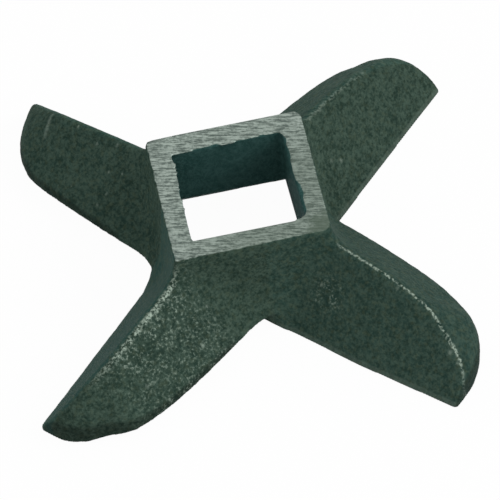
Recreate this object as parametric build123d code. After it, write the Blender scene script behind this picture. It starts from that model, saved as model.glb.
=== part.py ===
from build123d import *
import math
import os

# A four-winged knife for a mincer, cast in one piece of iron. Millimetres.
# Z is the axis of the drive shaft. The cutting edges lie in the plane Z = 0
# and the hub stands up from them. The sides of the hub are square to X and Y.

# Hub and drive hole
drive_square = 12.0       # square drive hole, across its flats
drive_corner = 0.5        # radius in the corners of the drive hole
ring_width = 2.15         # wall of the hub at its ground end ring
knife_height = 11.5       # cutting plane to the ground end ring
hub_draft = 4.2           # lean of the hub's four sides, degrees
hub_corner = 0.8          # radius down the corners of the hub
recess_square = 17.8      # mouth of the flared recess under the hub, across its flats
recess_depth = 3.7        # depth at which that recess meets the drive hole

# Outline of one wing, seen from above
wing_count = 4
edge_offset = 6.4         # cutting edge to the axis, along their common normal
edge_skew = 1.3           # cutting edge against the diagonal of the hub, degrees
edge_reach = 29.6         # end of the wing, measured along the cutting edge
root_reach = 2.0          # start of the trailing edge, measured the same way
root_width = 13.73        # width of the wing there
end_length = 6.6          # length of the round end, to the same end of the wing
shoulder_width = 10.15    # width of the wing where the round end starts
back_bulge = 0.65         # rise of the trailing edge above its own chord
tip_length = 1.0          # straight end of the wing, at the cutting edge
tip_radius = 0.8          # rounding of the outer corner of the cutting edge

# Section of one wing, a roof with its ridge over the diagonal of the hub
land_height = 0.8         # height of the steep strip above the cutting edge
land_lean = 22.0          # lean of that strip from the vertical, degrees
front_slope = 56.5        # slope of the face above the cutting edge, degrees
back_slope = 46.5         # slope of the face down to the trailing edge, degrees
end_slope = 53.5          # slope of that face where it turns round the end, degrees
back_height = 2.45        # top of the trailing edge above the cutting plane
root_fillet = 0.5         # fillet where the wings leave the sides of the hub
ridge_fillet = 0.8        # rounding along the ridge

# Ground land and relief under each wing
land_width = 3.5          # ground strip behind the cutting edge
relief_angle = 9.5        # rise of the underside behind that strip, degrees


def run_of(height, slope):
    """Horizontal run of a face that climbs through height at slope degrees."""
    return height / math.tan(math.radians(slope))


hub_top_square = drive_square + 2 * ring_width
hub_base_square = hub_top_square + 2 * run_of(knife_height, 90 - hub_draft)
far = 2 * edge_reach      # size of cutting blocks, past every face of the knife
near = 0.01               # largest error of a point that lies on a face


def outline(back_inset, end_inset, inner, front):
    """Wing outline, its back and end moved inwards, with straight other sides.

    The straight sides lie at X = inner and at Y = front.
    """
    root = Vector(root_reach, root_width)
    shoulder = Vector(edge_reach - end_length, shoulder_width)
    back = SagittaArc(root, shoulder, back_bulge)
    root -= Vector(-(back % 0).Y, (back % 0).X) * back_inset
    shoulder -= Vector(-(back % 1).Y, (back % 1).X) * back_inset
    back = SagittaArc(root, shoulder, back_bulge)
    inward = back % 0
    leaving = back % 1
    reach = edge_reach - end_inset
    end_foot = Vector(reach, tip_length)
    start = root - inward * ((root.X - inner) / inward.X)
    rim = [
        Line(start, root),
        back,
        TangentArc(shoulder, end_foot, tangent=leaving),
        Line(end_foot, (reach, front)),
        Line((reach, front), (inner, front)),
        Line((inner, front), start),
    ]
    return make_face(Curve() + rim)


def along_edge(section, start):
    """Solid with one section, drawn across the wing, from X = start outwards."""
    return Pos(start, 0, 0) * extrude(Plane.YZ * make_face(section), far)


def front_block():
    """Room behind the strip and the face that rise from the cutting edge."""
    land_run = run_of(land_height, 90 - land_lean)
    section = Polyline(
        (0, 0),
        (land_run, land_height),
        (land_run + run_of(far, front_slope), land_height + far),
        (2 * far, land_height + far),
        (2 * far, 0),
        close=True,
    )
    return along_edge(section, 0)


def relief_block():
    """Room under a wing, behind its ground strip and clear of the next wing."""
    rise = (far - land_width) * math.tan(math.radians(relief_angle))
    section = Polyline((land_width, 0), (far, 0), (far, rise), close=True)
    return along_edge(section, edge_offset)


def wing():
    """One wing in its own frame, on a flat underside.

    X runs out along the cutting edge, Y runs back across the wing, and the axis
    of the hub stands at Y = edge_offset.
    """
    plan = outline(0, 0, 0, 0)
    corner = plan.vertices().sort_by_distance((edge_reach, 0))[0]
    plate = extrude(fillet(corner, tip_radius), knife_height)
    climb = knife_height - back_height
    foot = outline(0, 0, -far, -far)
    head = outline(run_of(climb, back_slope), run_of(climb, end_slope), -far, -far)
    slope = loft([foot.face(), Pos(0, 0, climb) * head.face()], ruled=True)
    slope = Pos(0, 0, back_height) * slope + extrude(foot, back_height)
    roof = plate & slope & front_block()
    front = roof.faces().filter_by(lambda face: face.normal_at().Y < 0).sort_by(Axis.Z)[-1]
    ridge = front.edges().filter_by(Axis.X, reverse=True)
    ridge = ridge.filter_by(lambda edge: (edge @ 0.5).Z > back_height)
    return fillet(ridge.filter_by(lambda edge: (edge @ 0.5).X > edge_offset), ridge_fillet)


def at_wings(shape):
    """The same shape, drawn in the frame of a wing, set at every wing."""
    placed = []
    for index in range(wing_count):
        turn = Rot(0, 0, 45 + edge_skew + index * 360 / wing_count)
        placed.append(turn * Pos(0, -edge_offset, 0) * shape)
    return placed


def tapered_square(low_side, high_side, low, high, corner):
    """Square block with rounded corners whose side changes evenly with height."""
    foot = Pos(0, 0, low) * RectangleRounded(low_side, low_side, corner)
    head = Pos(0, 0, high) * RectangleRounded(high_side, high_side, corner)
    return loft([foot.face(), head.face()], ruled=True)


def hub():
    """Hub without its hole, narrowing towards the ring."""
    return tapered_square(hub_base_square, hub_top_square, 0, knife_height, hub_corner)


def recess():
    """Room under the hub, flared from the drive hole down to its mouth and below it."""
    wide_square = 2 * recess_square - drive_square
    return tapered_square(wide_square, drive_square, -recess_depth, recess_depth, drive_corner)


def drive_hole():
    """Square drive hole, past both ends of the hub."""
    return tapered_square(drive_square, drive_square, -far, far, drive_corner)


def on_hub_side(point):
    """Whether a point lies on one of the four leaning sides of the hub."""
    half = hub_base_square / 2 - run_of(point.Z, 90 - hub_draft)
    return abs(max(abs(point.X), abs(point.Y)) - half) < near


def is_root(edge):
    """Whether an edge is a long one where a wing leaves a side of the hub."""
    low, high = sorted([(edge @ 0).Z, (edge @ 1).Z])
    on_side = all(on_hub_side(edge @ place) for place in (0.25, 0.5, 0.75))
    return on_side and high < knife_height - near and high - low > back_height


def knife():
    """The whole casting with its ground lands and its drive hole."""
    casting = hub() + at_wings(wing())
    casting = fillet(casting.edges().filter_by(is_root), root_fillet)
    casting -= at_wings(relief_block())
    return casting - recess() - drive_hole()


grinder_knife = knife()
os.makedirs("parts", exist_ok=True)
export_step(grinder_knife.solid(), "parts/grinder_knife.step")
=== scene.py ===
import math

import bpy
import numpy as np
from mathutils import Matrix, Vector, noise


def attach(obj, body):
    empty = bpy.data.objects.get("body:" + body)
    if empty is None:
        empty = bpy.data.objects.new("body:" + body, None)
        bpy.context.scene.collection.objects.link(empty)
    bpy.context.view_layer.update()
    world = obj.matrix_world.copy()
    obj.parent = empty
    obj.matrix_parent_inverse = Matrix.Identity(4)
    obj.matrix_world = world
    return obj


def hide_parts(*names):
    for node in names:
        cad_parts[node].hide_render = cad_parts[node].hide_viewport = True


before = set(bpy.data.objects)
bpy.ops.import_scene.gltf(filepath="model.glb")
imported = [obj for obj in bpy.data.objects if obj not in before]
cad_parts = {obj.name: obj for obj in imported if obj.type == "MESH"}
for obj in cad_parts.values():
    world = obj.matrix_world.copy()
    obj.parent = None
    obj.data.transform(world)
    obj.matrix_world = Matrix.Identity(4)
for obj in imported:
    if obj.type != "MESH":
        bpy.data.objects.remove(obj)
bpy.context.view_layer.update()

# ---------------------------------------------------------------- the casting
# The whole knife is one iron casting, poured in sand: a square hub and four
# wings that run into it through fillets. Its surface is drawn as the zero of a
# field of distances, in millimetres, and every corner is as round as cast.
MM = 0.001
knife_height = 11.5       # cutting plane to the hub's ground end ring

# The wings: a roof-shaped back, a steep strip above the cutting edge, and a
# ground land and a relief underneath.
edge_offset = 6.4         # cutting edge to the axis of the hub
edge_skew = 1.3           # cutting edge against the hub's diagonal, degrees
land_lean = 22.0          # lean of the steep strip from the vertical, degrees
strip_round = 0.25        # rounding of the roof's corner with that strip
front_slope = 56.5        # slope of the face above the strip, degrees
face_run = 12.0           # how far along a wing that face is fully set back
back_slope = 46.0         # slope of the face down to the trailing rim, degrees
rim_height = 2.45         # top of the trailing rim
rim_round = 0.5           # rounding of that rim
end_crown = 0.95          # swelling of the back slope round the end of a wing
crown_reach = 1.3         # how far in from the rim that swelling is highest
crown_span = (27, 32)     # lengths round the outline where it starts and is whole
wing_start = -0.5         # where a wing starts in the hub, along its edge
land_width = 3.5          # ground land behind the cutting edge
relief_angle = 9.5        # rise of the underside behind that land, degrees
relief_round = 0.3        # rounding of the edges that the relief leaves

# Outline of a wing from the root, round its end, to the cutting edge: distance
# along the edge and distance behind it.
outline = [
    (-3.0, 14.1), (2.0, 13.75), (8.0, 13.1), (14.0, 12.2), (20.0, 11.05), (24.0, 9.8), (26.0, 8.7),
    (27.5, 7.2), (28.6, 5.3), (29.3, 3.4), (29.6, 1.8), (29.65, 0.3), (29.3, -1.6),
]
edge_places = (edge_offset, 18, outline[-1][0])     # along a wing, from the hub to its end

# The four wings in turn, and what is different in each of them:
#   turn         quarter turns from the wing at the back right
#   edge_out     how far its cutting edge stands out at each of edge_places
#   face_back    how far the face above its strip is set back, which moves its ridge
#   ridge_round  rounding of its ridge
#   strip        height of the steep strip above its cutting edge
#   hub_corner   radius of the corner of the hub that it grows out of
#   swell        how far its outline stands out at each of the points above
wings = {
    "back_right": {
        "turn": 0,
        "edge_out": (0.25, 0.25, 0.35),
        "face_back": 0.0,
        "ridge_round": 1.5,
        "strip": 0.35,
        "hub_corner": 1.1,
        "swell": (0, 0.5, 0.5, 0.5, 0.25, 0.1, -0.4, -0.3, 0, -0.15, -0.25, -0.2, 0),
    },
    "back_left": {
        "turn": 1,
        "edge_out": (0.15, 0.05, -0.15),
        "face_back": -0.3,
        "ridge_round": 0.9,
        "strip": 0.8,
        "hub_corner": 0.6,
        "swell": (0, -0.35, -0.3, -0.3, -0.25, 0, -0.1, -0.1, -0.15, -0.25, -0.15, 0, 0.3),
    },
    "front_left": {
        "turn": 2,
        "edge_out": (0.3, 0.18, 0.08),
        "face_back": 0.3,
        "ridge_round": 0.9,
        "strip": 0.8,
        "hub_corner": 0.25,
        "swell": (0, 0, 0.1, 0.2, 0.25, 0.25, 0.2, -0.15, 0.35, 0.4, 0.2, 0, -0.1),
    },
    "front_right": {
        "turn": 3,
        "edge_out": (-0.05, 0.42, 0.32),
        "face_back": 0.0,
        "ridge_round": 0.9,
        "strip": 0.8,
        "hub_corner": 1.0,
        "swell": (0, 0.5, 0.5, 0.6, 0.6, 0.45, 0.4, 0.4, 0.4, 0.2, 0, -0.1, 0),
    },
}

# Metal filled the notches between the wings, and the two beside the front left
# wing more: their bearings from the right, how much more, and how far to either
# side of those bearings that is whole and where it is gone, in degrees.
notch_round = 1.2         # size of the fill in every notch
full_notches = [(181, 2.5, 8, 30), (273, 2.5, 10, 30)]


def tangent(angle):
    """Tangent of an angle in degrees."""
    return math.tan(math.radians(angle))


def ramp(values, low, high):
    """0 below low, 1 above high and smooth between them."""
    share = np.clip((values - low) / (high - low), 0, 1)
    return share * share * (3 - 2 * share)


def join_inside(first, second, size):
    """Field of what lies in both shapes, its corner rounded over that size."""
    near = np.maximum(size - np.abs(first - second), 0)
    return np.maximum(first, second) + near * near / (4 * size)


def join_either(first, second, size):
    """Field of what lies in either shape, its corner filled over that size."""
    return -join_inside(-first, -second, size)


def smooth_curve(points, steps=10):
    """Points along a smooth curve through the given ones."""
    p = np.array(points, float)
    p = np.vstack([2 * p[0] - p[1], p, 2 * p[-1] - p[-2]])
    t = np.linspace(0, 1, steps, endpoint=False)[:, None]
    spans = []
    for a, b, c, d in zip(p, p[1:], p[2:], p[3:]):
        bend = 2 * a - 5 * b + 4 * c - d
        twist = 3 * b - a - 3 * c + d
        spans.append((2 * b + (c - a) * t + bend * t**2 + twist * t**3) / 2)
    return np.vstack(spans + [p[-2:-1]])


def distance_to_side(curve, along, across):
    """Distance outwards from a curve in the plan, and where on it the foot lies."""
    nearest = np.full(along.shape, np.inf)
    side = np.zeros(along.shape)
    place = np.zeros(along.shape)
    run = np.concatenate([[0], np.cumsum(np.hypot(*np.diff(curve, axis=0).T))])
    for start, end, passed in zip(curve, curve[1:], run):
        step = end - start
        length = math.hypot(*step)
        share = ((along - start[0]) * step[0] + (across - start[1]) * step[1]) / length**2
        share = np.clip(share, 0, 1)
        gap = np.hypot(along - start[0] - share * step[0], across - start[1] - share * step[1])
        nearer = gap < nearest
        turn = step[0] * (across - start[1]) - step[1] * (along - start[0])
        nearest = np.where(nearer, gap, nearest)
        side = np.where(nearer, np.sign(turn), side)
        place = np.where(nearer, passed + share * length, place)
    return nearest * side, place


def wing_outline(swell):
    """The outline of one wing, smooth and with its own swellings."""
    points = np.array(outline, float)
    heading = np.gradient(points, axis=0)
    heading /= np.hypot(*heading.T)[:, None]
    outward = np.stack([-heading[:, 1], heading[:, 0]], axis=1)
    return smooth_curve(points + outward * np.array(swell, float)[:, None])


def wing_places(shape, x, y):
    """Distance along the cutting edge of a wing and distance behind it."""
    angle = math.radians(45 + edge_skew + 90 * shape["turn"])
    along = x * math.cos(angle) + y * math.sin(angle)
    return along, y * math.cos(angle) - x * math.sin(angle) + edge_offset


def edge_shift(shape, along):
    """How far the cutting edge stands out, from the hub to the end of the wing."""
    return np.interp(along, edge_places, shape["edge_out"])


def roof_faces(shape, x, y, z):
    """Fields of the two faces that meet at a wing's ridge, and of its outline."""
    along, across = wing_places(shape, x, y)
    side, place = distance_to_side(wing_outline(shape["swell"]), along, across)
    inward = np.maximum(-side, 0) / crown_reach
    crown = end_crown * ramp(place, *crown_span) * inward * np.exp(1 - inward)
    lean = math.radians(back_slope)
    back = (z - rim_height + side * tangent(back_slope) - crown) * math.cos(lean)
    behind = across + edge_shift(shape, along) - shape["face_back"] * ramp(along, 0, face_run)
    lean = math.radians(front_slope)
    front = (z - shape["strip"]) * math.cos(lean)
    front = front - (behind - shape["strip"] * tangent(land_lean)) * math.sin(lean)
    return front, back, side


def wing_field(shape, x, y, z):
    """Field of one wing on a flat underside."""
    along, across = wing_places(shape, x, y)
    front, back, side = roof_faces(shape, x, y, z)
    edge = across + edge_shift(shape, along)
    lean = math.radians(land_lean)
    body = join_inside(front, back, shape["ridge_round"])
    body = join_inside(body, side, rim_round)
    body = join_inside(body, z * math.sin(lean) - edge * math.cos(lean), strip_round)
    return np.maximum(body, wing_start - along)


def relief_field(shape, follower, x, y, z):
    """Field of the room under a wing, behind its land and clear of the next edge."""
    along, across = wing_places(shape, x, y)
    behind_land = across + edge_shift(shape, along) - land_width
    rise = math.radians(relief_angle)
    under = z * math.cos(rise) - behind_land * math.sin(rise)
    next_edge = edge_offset + edge_shift(follower, across - edge_offset)
    return np.maximum(under, next_edge - along)


cell = 0.225              # spacing of the grid that the field is worked out on
grid_reach = 25.65        # from the axis to the sides of that grid
grid_margin = 0.5         # its room below and above the knife
grid_shift = 0.03         # lifts it off the knife's own flat faces
count = int(2 * grid_reach / cell) + 1
plan = (np.arange(count) - (count - 1) / 2) * cell
levels = np.arange(-grid_margin, knife_height + grid_margin, cell) + grid_shift
grid_x, grid_y, grid_z = np.meshgrid(plan, plan, levels, indexing="ij", sparse=True)

bearing = np.degrees(np.arctan2(grid_y, grid_x)) % 360
notch_fill = notch_round
for middle, extra, whole, gone in full_notches:
    notch_fill = notch_fill + extra * ramp(-np.abs(bearing - middle), -gone, -whole)

skin = None
relief = None
shapes = list(wings.values())
for shape, follower in zip(shapes, shapes[1:] + shapes[:1]):
    body = wing_field(shape, grid_x, grid_y, grid_z)
    under = relief_field(shape, follower, grid_x, grid_y, grid_z)
    skin = body if skin is None else join_either(skin, body, notch_fill)
    relief = under if relief is None else np.minimum(relief, under)

# The hub narrows upwards. hub_out says how far each of its sides stands out of
# true at its two ends, the front or left end first.
drive_square = 12.0       # square drive hole, across its flats
ring_width = 2.15         # wall of the hub at its end ring
hub_draft = 4.2           # lean of the hub's sides, degrees
ring_round = 0.15         # rounding of the outer edge of that ring
root_fillet = 1.6         # fillet where the wings leave the hub
hub_out = {"right": (-0.05, 0.2), "left": (0.24, 0.05), "back": (0.05, 0.28), "front": (0.2, -0.05)}


def side_value(values, x, y):
    """Values at a place, from the right or left side and from the back or front one."""
    ends = (-drive_square / 2 - ring_width, drive_square / 2 + ring_width)
    across = np.where(x > 0, np.interp(y, ends, values["right"]), np.interp(y, ends, values["left"]))
    down = np.where(y > 0, np.interp(x, ends, values["back"]), np.interp(x, ends, values["front"]))
    return across, down


def hub_field(x, y, z):
    """Field of the four leaning sides of the hub and of the corners between them."""
    half = drive_square / 2 + ring_width + (knife_height - z) * tangent(hub_draft)
    out_x, out_y = side_value(hub_out, x, y)
    quarter = np.where(x < 0, np.where(y < 0, 2, 1), np.where(y < 0, 3, 0))
    corner = np.array([shape["hub_corner"] for shape in wings.values()])[quarter]
    past_x = np.abs(x) - half - out_x + corner
    past_y = np.abs(y) - half - out_y + corner
    outside = np.hypot(np.maximum(past_x, 0), np.maximum(past_y, 0)) - corner
    return outside + np.minimum(np.maximum(past_x, past_y), 0)


skin = join_either(skin, hub_field(grid_x, grid_y, grid_z), root_fillet)
skin = join_inside(skin, grid_z - knife_height, ring_round)
skin = join_inside(skin, -relief, relief_round)
skin = np.maximum(skin, -grid_z)

# The drive hole opens downwards into a flared recess. hole_in says how much
# tighter than nominal each of its sides is at its two ends, in the same order.
recess_square = 17.8      # mouth of that recess, across its flats
recess_depth = 3.7        # depth at which it meets the drive hole
hole_in = {"right": (0.15, 0.15), "left": (-0.15, 0.05), "back": (0.25, 0.02), "front": (0.03, 0.03)}

# The grinding of the ring left a ragged edge round the hole. Each pair holds a
# place along that side and how far the edge stands into the hole there.
ragged_start = 0.35       # depth below the ring where that edge starts
ragged_whole = 0.05       # depth below the ring where it is whole
ragged_edge = {
    "back": [
        (-6.0, 0.2), (-4.0, 0.2), (-3.2, 0.0), (-2.2, 0.0), (-1.7, -0.15), (-1.0, -0.15), (-0.6, 0.2),
        (0.6, 0.25), (1.0, 0.05), (3.1, 0.1), (3.7, -0.1), (4.8, 0.05), (5.6, 0.1), (6.0, 0.4),
    ],
    "front": [(-6.0, 0.0), (4.7, 0.0), (5.3, 0.2), (6.0, 0.6)],
    "left": [(-6.0, 0.0), (-3.7, 0.0), (-1.0, 0.1), (0.6, 0.0), (2.0, 0.2), (4.3, 0.3), (5.4, 0.1)],
    "right": [
        (-6.0, 0.4), (-5.5, 0.0), (-4.7, -0.35), (-3.6, -0.25), (-2.6, -0.5), (-1.5, -0.4), (-0.7, 0.0),
        (0.0, 0.1), (1.5, 0.0), (2.9, -0.25), (4.0, -0.1), (4.9, -0.3), (6.0, 0.2),
    ],
}
# That edge has fine waves too: their height, how many radians they turn in a
# millimetre, and how many they are at in the middle of the side.
waves = {
    "back": [(0.03, 5.1, 4), (0.02, 11.7, 8)],
    "front": [],
    "left": [(0.03, 5.1, 4), (0.02, 11.7, 8)],
    "right": [(0.03, 5.1, 5), (0.02, 11.7, 10)],
}


def ragged(side, place):
    """How far the edge on one side of the hole stands into it."""
    wave = sum(height * np.sin(pitch * place + start) for height, pitch, start in waves[side])
    return np.interp(place, *np.transpose(ragged_edge[side])) + wave


square = np.maximum(np.abs(grid_x), np.abs(grid_y))
flare = (recess_square - drive_square) / 2 / recess_depth
recess = (square - drive_square / 2 - (recess_depth - grid_z) * flare) / math.hypot(1, flare)
skin = np.maximum(skin, -recess)
at_top = ramp(grid_z, knife_height - ragged_start, knife_height - ragged_whole)
ragged_x = np.where(grid_x > 0, ragged("right", grid_y), ragged("left", grid_y))
ragged_y = np.where(grid_y > 0, ragged("back", grid_x), ragged("front", grid_x))
in_x, in_y = side_value(hole_in, grid_x, grid_y)
across_hole = np.abs(grid_x) + in_x + at_top * ragged_x
down_hole = np.abs(grid_y) + in_y + at_top * ragged_y
skin = np.maximum(skin, drive_square / 2 - np.maximum(across_hole, down_hole))


def skin_mesh(field, corner):
    """Corners and faces of the surface where a field on a grid passes zero.

    Each cell that the surface crosses holds one corner, at the mean of the
    crossings on its edges, and each crossed edge of the grid makes one face.
    """
    cells = np.array(field.shape) - 1
    total = np.zeros((*cells, 3))
    hits = np.zeros(cells)
    crossed = []
    for axis in range(3):
        low = np.moveaxis(field, axis, 0)[:-1]
        high = np.moveaxis(field, axis, 0)[1:]
        found = np.argwhere((low < 0) != (high < 0))
        low = low[tuple(found.T)]
        high = high[tuple(found.T)]
        first, second = [other for other in range(3) if other != axis]
        order = np.argsort([axis, first, second])
        found = found[:, order]
        place = found.astype(float)
        place[:, axis] += low / (low - high)
        around = []
        for step_first, step_second in ((1, 1), (0, 1), (0, 0), (1, 0)):
            owner = found.copy()
            owner[:, first] -= step_first
            owner[:, second] -= step_second
            np.add.at(total, tuple(owner.T), place)
            np.add.at(hits, tuple(owner.T), 1)
            around.append(owner)
        outward = (low < 0) != (axis == 1)
        crossed.append((around, outward))
    used = hits > 0
    number = np.full(cells, -1)
    number[used] = np.arange(used.sum())
    corners = total[used] / hits[used][:, None] * cell + np.array(corner)
    faces = []
    for around, outward in crossed:
        ring = np.stack([number[tuple(owner.T)] for owner in around], axis=1)
        ring[~outward] = ring[~outward][:, ::-1]
        faces.append(ring)
    return corners, np.vstack(faces)


corners, faces = skin_mesh(skin, (plan[0], plan[0], levels[0]))
mesh = bpy.data.meshes.new("knife_casting")
mesh.from_pydata((corners * MM).tolist(), [], faces.tolist())
mesh.shade_smooth()
knife = bpy.data.objects.new("knife_casting", mesh)
bpy.context.scene.collection.objects.link(knife)

# Grains of the sand mould left the cast faces rough. The ground ring and lands
# and the broached hole are smooth, and near them the roughness fades.
sand_depth = 0.03                 # height of that roughness
sand_grain = 0.8                  # size of its largest lumps
sand_octaves = (0.6, 2.0, 3)      # fall of its height, step of its size, and steps
above_land = (0.02, 0.3)          # where it starts and is whole, up from the lands
below_ring = (0.1, 0.4)           # the same, down from the ring
beside_hole = (0.1, 0.4)          # the same, out from the sides of the hole
normals = np.empty(len(corners) * 3, np.float32)
mesh.vertex_normals.foreach_get("vector", normals)
normals = normals.reshape(-1, 3)
x, y, z = corners.T
hole_gap = np.maximum(np.abs(x), np.abs(y)) - drive_square / 2
cast = ramp(z, *above_land) * ramp(knife_height - z, *below_ring) * ramp(hole_gap, *beside_hole)
rough = np.array([noise.fractal(Vector(spot), *sand_octaves) for spot in corners / sand_grain])
corners = corners + normals * (sand_depth * cast * rough)[:, None]
mesh.vertices.foreach_set("co", (corners * MM).ravel())

# ------------------------------------------------------ marks on the casting
# Handling rubbed the ridges bare. Painted glints, bright specks on grains of bare
# iron in the skin, stand on the back of the front left wing and in a cluster on the
# front of the front right one. Each mark is a value at the corners of the mesh.

# How bare each ridge is, the places along the wing where that starts and where it
# ends, how wide the bare line is, and how far behind the ridge it lies.
wear = {
    "back_right": {"strength": 0.3, "start": (12, 13.5), "end": (21, 23), "width": 0.5, "behind": 0.0},
    "back_left": {"strength": 0.0, "start": (9, 11), "end": (20, 22), "width": 0.2, "behind": 0.0},
    "front_left": {"strength": 1.0, "start": (11.3, 12.8), "end": (22, 27), "width": 0.7, "behind": 0.4},
    "front_right": {"strength": 1.0, "start": (11.7, 12.7), "end": (28.5, 30), "width": 0.3, "behind": 0.0},
}

# Painted light and shade: how much lighter or darker the front and the back of a wing
# are painted, for how the light falls on each face, and how far they go to teal.
tones = {
    "back_right": {"front": (1.03, 0.0), "back": (1.35, 0.4)},
    "back_left": {"front": (1.4, 0.5), "back": (1.12, 0.2)},
    "front_left": {"front": (1.4, 0.7), "back": (1.12, 0.0)},
    "front_right": {"front": (1.22, 0.3), "back": (1.05, 0.4)},
}
tone_blend = 0.15         # how far from the ridge those of the two faces still mix

# Single pale spots: place along the edge and behind it, size and strength.
spots = {
    "back_right": [
        (13.2, 2.3, 0.2, 0.8), (13.0, 5.8, 0.25, 0.6), (14.0, 5.8, 0.25, 0.5), (14.7, 5.7, 0.3, 0.8),
        (12.2, 2.8, 0.2, 0.4), (20.8, 5.4, 0.3, 0.5), (22.4, 5.1, 0.3, 0.6),
    ],
    "back_left": [
        (24.5, 4.6, 0.3, 0.4), (24.5, 4.9, 0.3, 0.45), (24.5, 5.2, 0.3, 0.5), (24.4, 5.5, 0.3, 0.55),
        (24.4, 5.8, 0.3, 0.5), (24.3, 6.1, 0.3, 0.5), (24.3, 6.4, 0.3, 0.4), (24.2, 6.7, 0.3, 0.35),
        (20.7, 5.3, 0.2, 0.9), (17.8, 6.2, 0.2, 0.7), (15.4, 5.9, 0.18, 0.7), (15.3, 8.0, 0.2, 0.6),
        (13.7, 7.8, 0.18, 0.7), (14.7, 9.6, 0.2, 0.5), (19.0, 9.8, 0.15, 0.4), (15.3, 10.6, 0.2, 0.5),
    ],
    "front_left": [(14.8, 10.8, 0.3, 1.0), (22.2, 8.8, 0.25, 0.9), (11.5, 9.4, 0.2, 0.8)],
    "front_right": [
        (11.6, 3.3, 0.2, 1.0), (27.2, 2.7, 0.3, 0.7), (19.8, 4.9, 0.2, 0.5), (28.3, 2.3, 0.2, 0.5),
    ],
}

# The painted glints on grains: how dense they are, and where along the front left wing
# they start and end. They thin out by a share of that over these distances from the ridge.
grain_density = 0.9
grain_start = (10, 13.5)
grain_end = (21, 27)
grain_thinning = 0.45
thinning_span = (1, 4)

# The cluster of painted glints: how dense it is, its place along the edge and behind it,
# its reach from there both ways, and the shares of that reach over which it fades.
cluster_density = 0.55
cluster_along = 12.6
cluster_across = 2.9
reach_along = 2.2
reach_across = 1.3
cluster_fade = (0.3, 1.2)

# What the mesh holds at its corners:
#   ridge             distance in front of a wing's ridge, less than 0 behind it
#   worn, worn_width  how bare the ridge is there, and how wide the bare line is
#   grains, pale      density of the painted glints on grains, and strength of the pale spots
#   tone, teal  painted light and shade of each face, and how far it goes to teal
#   rim               distance in from the trailing rim
#   ring_gap          distance in from the sides of the hub
names = ("ridge", "worn", "worn_width", "grains", "pale", "tone", "teal", "rim", "ring_gap")
sector_start = 6.0        # bearing where the first wing's part starts, before the skew
rim_start = (8, 12)       # where along a wing its trailing rim comes out of the hub
no_rim = 9.0              # added to the distance from the rim before that

sector = np.degrees(np.arctan2(y, x)) % 360
nearest_wing = ((sector - sector_start - edge_skew) // 90).astype(int) % 4
marks = {name: np.zeros(len(corners)) for name in names}
marks["ring_gap"] = -hub_field(x, y, z)
for name, shape in wings.items():
    own = nearest_wing == shape["turn"]
    along, across = wing_places(shape, x[own], y[own])
    front, back, side = roof_faces(shape, x[own], y[own], z[own])
    rubbed = wear[name]
    reached = ramp(along, *rubbed["start"]) * (1 - ramp(along, *rubbed["end"]))
    marks["ridge"][own] = front - back + rubbed["behind"]
    marks["worn"][own] = rubbed["strength"] * reached
    marks["worn_width"][own] = rubbed["width"]
    marks["rim"][own] = -side + no_rim * (1 - ramp(along, *rim_start))

    # The painted light and shade of the two faces meet across the ridge.
    on_front = ramp(front - back, -tone_blend, tone_blend)
    front_tone, front_teal = tones[name]["front"]
    back_tone, back_teal = tones[name]["back"]
    marks["tone"][own] = back_tone + (front_tone - back_tone) * on_front
    marks["teal"][own] = back_teal + (front_teal - back_teal) * on_front

    if name == "front_left":
        dense = grain_density * ramp(along, *grain_start) * (1 - ramp(along, *grain_end))
        near_ridge = 1 - grain_thinning * ramp(back - front, *thinning_span)
        marks["grains"][own] = dense * (1 - on_front) * near_ridge
    if name == "front_right":
        away = np.hypot((along - cluster_along) / reach_along, (across - cluster_across) / reach_across)
        marks["grains"][own] = cluster_density * (1 - ramp(away, *cluster_fade)) * on_front
    for spot_along, spot_across, size, strength in spots[name]:
        away = np.hypot(along - spot_along, across - spot_across)
        spot = strength * (1 - ramp(away, 0, size))
        marks["pale"][own] = np.maximum(marks["pale"][own], spot)
for name, values in marks.items():
    mesh.attributes.new(name, "FLOAT", "POINT").data.foreach_set("value", values.astype(np.float32))


# ------------------------------------------------- cast skin and ground faces
# The iron keeps the dark grey-green skin that the sand left on it. Only the
# ring on the hub and the lands under the wings were ground, and they are bare.
class Signal:
    """A shader socket that takes part in sums. Sums on it add Math nodes."""

    def __init__(self, tree, socket):
        self.tree = tree
        self.socket = socket

    def math(self, operation, first, second=None):
        node = self.tree.nodes.new("ShaderNodeMath")
        node.operation = operation
        for slot, value in zip(node.inputs, (first, second)):
            connect(self.tree, slot, value)
        return Signal(self.tree, node.outputs[0])

    def __add__(self, other):
        return self.math("ADD", self, other)

    __radd__ = __add__

    def __sub__(self, other):
        return self.math("SUBTRACT", self, other)

    def __rsub__(self, other):
        return self.math("SUBTRACT", other, self)

    def __mul__(self, other):
        return self.math("MULTIPLY", self, other)

    __rmul__ = __mul__

    def __truediv__(self, other):
        return self.math("DIVIDE", self, other)

    def size(self):
        return self.math("ABSOLUTE", self)

    def or_more(self, other):
        """The larger of the two."""
        return self.math("MAXIMUM", self, other)

    def or_less(self, other):
        """The smaller of the two."""
        return self.math("MINIMUM", self, other)


def connect(tree, slot, value):
    """Links a signal to a socket, or writes a plain value on it."""
    if isinstance(value, Signal):
        tree.links.new(value.socket, slot)
    elif value is not None:
        slot.default_value = value


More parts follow.
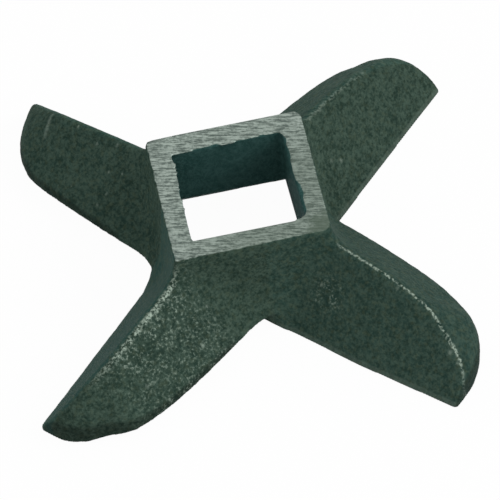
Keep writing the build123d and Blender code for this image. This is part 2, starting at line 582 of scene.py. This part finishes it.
class Finish:
    """The nodes of one material, or of the room, added one by one."""

    def __init__(self, owner):
        owner.use_nodes = True
        self.tree = owner.node_tree
        self.tree.nodes.clear()

    def add(self, kind, settings, output=0, **inputs):
        """A node of that kind, its settings made first, as one output signal.

        An input goes by its name, or by _ and its number where names repeat.
        """
        node = self.tree.nodes.new(kind)
        for key, value in settings.items():
            setattr(node, key, value)
        for key, value in inputs.items():
            slot = int(key[1:]) if key.startswith("_") else key.replace("_", " ")
            connect(self.tree, node.inputs[slot], value)
        return Signal(self.tree, node.outputs[output]) if node.outputs else None

    def between(self, value, low, high):
        """0 where value is at low or past it, 1 at high or past it, smooth between."""
        return self.add("ShaderNodeMapRange", {"interpolation_type": "SMOOTHSTEP"}, Value=value,
                        From_Min=low, From_Max=high)

    def mark(self, name):
        """A value that the mesh holds at its corners."""
        return self.add("ShaderNodeAttribute", {"attribute_name": name}, "Fac")

    def mix(self, share, first, second):
        """Colour that goes from first to second."""
        return self.add("ShaderNodeMix", {"data_type": "RGBA"}, 2, _0=share, _6=first, _7=second)

    def noise(self, place, size, detail, rough):
        """Noise with lumps of about that size in millimetres."""
        return self.add("ShaderNodeTexNoise", {}, Vector=place, Scale=1 / size, Detail=detail,
                        Roughness=rough)


def grey_green(red, green, blue):
    """Colour on a screen, 0 to 255, as the light that a shader works with."""
    light = []
    for value in (red, green, blue):
        share = value / 255
        light.append(share / 12.92 if share <= 0.04045 else ((share + 0.055) / 1.055) ** 2.4)
    return (*light, 1.0)


cast_iron = bpy.data.materials.new("cast_iron")
iron = Finish(cast_iron)
place = iron.add("ShaderNodeNewGeometry", {}, "Position")
place = iron.add("ShaderNodeVectorMath", {"operation": "SCALE"}, _0=place, Scale=1 / MM)
from_side = iron.add("ShaderNodeSeparateXYZ", {}, "X", Vector=place)
from_front = iron.add("ShaderNodeSeparateXYZ", {}, "Y", Vector=place)
height = iron.add("ShaderNodeSeparateXYZ", {}, "Z", Vector=place)

# The skin, in grains and blotches, with a drift between teal and olive. Painted
# shade darkens it along the trailing rims, and a painted contact shadow just above
# the table. Each span gives the values of mixed noise where a colour starts and is whole.
skin_dark = grey_green(34, 51, 43)
skin_light = grey_green(68, 86, 75)
skin_teal = grey_green(38, 65, 61)
skin_olive = grey_green(62, 74, 58)
skin_span = (0.4, 0.7)    # from dark skin to light skin
teal_span = (0.25, 0.95)
olive_span = (0.48, 0.3)
olive_most = 0.4          # share of olive where there is most of it
# The two dark lines are painted shade: one along the trailing rims, and a painted contact shadow at the
# foot.
rim_shade_line = (0.3, 0.05)    # distances from a rim where its dark line starts and is whole
foot_shadow_line = (0.25, 0.1)   # the same in height, for the dark line at the foot
painted_shade_share = 0.45          # share of the light that both lines lose
grain = iron.noise(place, size=0.3, detail=3.0, rough=0.7)
coarse = iron.noise(place, size=0.7, detail=2.0, rough=0.6)
patches = iron.noise(place, size=2.8, detail=3.0, rough=0.6)
drift = iron.noise(place, size=0.5, detail=2.0, rough=0.5)
shade = iron.between(grain * 0.6 + coarse * 0.35 + patches * 0.15, *skin_span)
to_teal = iron.between(drift * 0.6 + iron.mark("teal") * 0.5, *teal_span)
to_olive = iron.between(drift, *olive_span) * olive_most
colour = iron.mix(shade, skin_dark, skin_light)
colour = iron.mix(to_teal, colour, skin_teal)
colour = iron.mix(to_olive, colour, skin_olive)
# Painted shade along the trailing rims and a painted contact shadow at the foot.
painted_edge_shade = iron.between(iron.mark("rim"), *rim_shade_line).or_more(iron.between(height, *foot_shadow_line))
# Painted light and shade: the skin colour of each face is scaled by the light painted on it.
colour = iron.add("ShaderNodeVectorMath", {"operation": "SCALE"}, _0=colour,
                  Scale=iron.mark("tone") * (1 - painted_edge_shade * painted_shade_share))

# Bare iron and painted light: painted glints on grains of bare iron, the rubbed
# ridges, the single pale spots, and a little painted light from the table on the steep strips.
bare_iron_and_painted_light = grey_green(150, 165, 152)
grains_span = (0.52, 0.8)
rubbed_span = (0.4, 0.65)
ridge_waver = 0.35        # how far the rubbed line strays from side to side
rubbed_edge = (1.0, 0.2)  # shares of its width where it starts and is whole
strip_top = (0.85, 0.65)  # heights over which the paler strip ends
strip_front = (1.0, 2.0)  # distances in front of the ridge over which it starts
strip_table_light = 0.1          # how much painted light from the table it holds
glint = iron.noise(place, size=0.3, detail=2.0, rough=0.6)
clusters = iron.noise(place, size=1.4, detail=2.0, rough=0.6) - 0.5
# Painted glints: grains of bare iron painted bright, as if they caught the light.
glinting_grains = iron.between(glint + clusters * 0.3, *grains_span) * iron.mark("grains")
ridge_gap = (iron.mark("ridge") + (coarse - 0.5) * ridge_waver).size()
rubbed = iron.between(ridge_gap / iron.mark("worn_width"), *rubbed_edge) * iron.mark("worn")
rubbed = rubbed * iron.between(glint + clusters * 0.4, *rubbed_span)
pale = iron.mark("pale") * (0.2 + grain)
# Painted light: the steep strips are painted paler where they face the bright table.
strip = iron.between(height, *strip_top) * iron.between(iron.mark("ridge"), *strip_front)
bare_and_painted_light = glinting_grains.or_more(rubbed).or_more(pale).or_more(strip * strip_table_light)
colour = iron.mix(bare_and_painted_light, colour, bare_iron_and_painted_light)

# The broached hole.
hole_dark = grey_green(46, 80, 76)
hole_light = grey_green(68, 102, 98)
hole_fade = (0.45, 0.3)   # distances outside its sides over which its colour starts
outside_hole = from_side.size().or_more(from_front.size()) - drive_square / 2
colour = iron.mix(iron.between(outside_hole, *hole_fade), colour, iron.mix(shade, hole_dark, hole_light))

# The ground ring and lands: fine streaks, dull at the corner of the ring that the
# wheel missed, and a little dull for some way round that corner.
ground_dark = grey_green(88, 100, 94)
ground_light = grey_green(163, 176, 167)
ground_dull = grey_green(84, 99, 86)
streak_turn = math.radians(14.4)    # the grinder ran at this angle to the hub
streak_stretch = (0.3, 2.2, 1.0)    # how fine the streaks are along it and across it
missed_corner = (7.8, -7.8, knife_height)
missed_reach = (3.4, 1.36)          # distances from it where the dull place starts and is whole
missed_dull = 0.85                  # share of the dull colour there
round_reach = (17, 6.8)             # the same for the little dullness round it
round_dull = 0.4                    # share of the dull colour there
ground_span = (0.38, 0.62)          # from dark streaks to light ones
ring_depth = (0.12, 0.04)           # depths below the ring over which the skin ends
ring_edge = (0.02, 0.16)            # the same, in from the sides of the hub
land_height = (0.04, 0.01)          # the same, above the lands
run = iron.add("ShaderNodeVectorRotate", {"rotation_type": "Z_AXIS"}, Vector=place, Angle=streak_turn)
run = iron.add("ShaderNodeVectorMath", {"operation": "MULTIPLY"}, _0=run, _1=streak_stretch)
streaks = iron.noise(run, size=0.5, detail=4.0, rough=0.75)
ground_shade = iron.between(streaks + (grain - 0.5) * 0.3 + (coarse - 0.5) * 0.2, *ground_span)
from_missed = iron.add("ShaderNodeVectorMath", {"operation": "DISTANCE"}, "Value", _0=place,
                       _1=missed_corner)
missed = iron.between(from_missed + (coarse - 0.5) * 2, *missed_reach) * missed_dull
round_missed = iron.between(from_missed, *round_reach) * round_dull
ground_colour = iron.mix(ground_shade, ground_dark, ground_light)
ground_colour = iron.mix(missed.or_more(round_missed), ground_colour, ground_dull)
ring = iron.between(knife_height - height, *ring_depth)
ring = ring * iron.between(iron.mark("ring_gap") + (coarse - 0.5) * 0.3, *ring_edge)
ground = ring.or_more(iron.between(height, *land_height))
colour = iron.mix(ground, colour, ground_colour)

skin_roughness = 0.62
ground_roughness = 0.45
bare_metal = 0.6          # how metallic the ground faces and bare spots are
iron_specular = 0.015     # the skin is matt, also where it is seen along its face
bump_depth = 0.09
bump_strength = 0.7
skin_bumps = (grain + coarse * 0.6) * (1 - ground)
ground_bumps = streaks * ground * 0.5
bump = iron.add("ShaderNodeBump", {}, Strength=bump_strength, Distance=bump_depth * MM,
                Height=skin_bumps + ground_bumps + bare_and_painted_light * 0.3)
shader = iron.add("ShaderNodeBsdfPrincipled", {}, Base_Color=colour, Normal=bump,
                  Roughness=skin_roughness - ground * (skin_roughness - ground_roughness),
                  Metallic=ground.or_more(bare_and_painted_light) * bare_metal, Specular_IOR_Level=iron_specular)
iron.add("ShaderNodeOutputMaterial", {}, Surface=shader)
mesh.materials.append(cast_iron)

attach(knife, "root")
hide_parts("grinder_knife")

# ------------------------------------------------------- table, light, camera
# The knife lies on a white table, under one soft square lamp on the right, in a
# bright plain room. The camera looks down on it from the front.
table_corners = [(-3, -3, 0), (3, -3, 0), (3, 3, 0), (-3, 3, 0)]    # metres
table_white = (0.9, 0.9, 0.9, 1)
plain_white = (1, 1, 1, 1)
table_glow = 0.97         # share of the table's own light in what the camera sees
room_level = 0.62         # light of the walls on the knife


def in_sight(finish):
    """1 for what the camera sees, also by reflection or through glass, otherwise 0."""
    direct = finish.add("ShaderNodeLightPath", {}, "Is Camera Ray")
    glossy = finish.add("ShaderNodeLightPath", {}, "Is Glossy Ray")
    passing = finish.add("ShaderNodeLightPath", {}, "Is Transmission Ray")
    return (direct + glossy + passing).or_less(1.0)


table_mesh = bpy.data.meshes.new("table")
table_mesh.from_pydata(table_corners, [], [(0, 1, 2, 3)])
table = bpy.data.objects.new("table", table_mesh)
bpy.context.scene.collection.objects.link(table)
white_table = bpy.data.materials.new("white_table")
paper = Finish(white_table)
matt = paper.add("ShaderNodeBsdfDiffuse", {}, Color=table_white)
glow = paper.add("ShaderNodeEmission", {}, Color=plain_white, Strength=1.0)
both = paper.add("ShaderNodeMixShader", {}, _0=in_sight(paper) * table_glow, _1=matt, _2=glow)
paper.add("ShaderNodeOutputMaterial", {}, Surface=both)
table_mesh.materials.append(white_table)

world = bpy.data.worlds.new("room")
bpy.context.scene.world = world
room = Finish(world)
walls = room.add("ShaderNodeBackground", {}, Color=plain_white,
                 Strength=in_sight(room) * (1 - room_level) + room_level)
room.add("ShaderNodeOutputWorld", {}, Surface=walls)

lamp_around = math.radians(-15)     # from the right towards the front
lamp_up = math.radians(42)
lamp_distance = 1.2                 # metres
lamp_data = bpy.data.lights.new("key_lamp", "AREA")
lamp_data.size = 0.5
lamp_data.energy = 6.5
lamp = bpy.data.objects.new("key_lamp", lamp_data)
bpy.context.scene.collection.objects.link(lamp)
lamp.location = (
    lamp_distance * math.cos(lamp_up) * math.cos(lamp_around),
    lamp_distance * math.cos(lamp_up) * math.sin(lamp_around),
    lamp_distance * math.sin(lamp_up),
)
lamp.rotation_euler = (math.radians(90) - lamp_up, 0, lamp_around + math.radians(90))

view_turn = math.radians(8.53)      # the knife is turned this far on the table
view_elevation = math.radians(51.13)
view_roll = math.radians(4.59)
view_distance = 522.2               # millimetres
aim_right = 0.67                    # what the camera looks at, beside the axis
aim_far = 0.58
scene = bpy.context.scene
scene.view_settings.view_transform = "Standard"
camera_data = bpy.data.cameras.new("camera")
camera_data.sensor_width = 36
camera_data.lens = 358.9
camera_data.clip_start = 0.01
camera = bpy.data.objects.new("camera", camera_data)
scene.collection.objects.link(camera)
scene.camera = camera


def turned(right, far, up):
    """A direction or place seen from the camera's side, in the knife's frame."""
    cosine = math.cos(view_turn)
    sine = math.sin(view_turn)
    return np.array([right * cosine + far * sine, far * cosine - right * sine, up])


level = turned(1, 0, 0)
upward = turned(0, math.sin(view_elevation), math.cos(view_elevation))
right = level * math.cos(view_roll) - upward * math.sin(view_roll)
upright = level * math.sin(view_roll) + upward * math.cos(view_roll)
backward = np.cross(right, upright)
stand = turned(aim_right, aim_far, 0) + backward * view_distance
pose = np.eye(4)
pose[:3] = np.stack([right, upright, backward, stand * MM], axis=1)
camera.matrix_world = Matrix(pose.tolist())
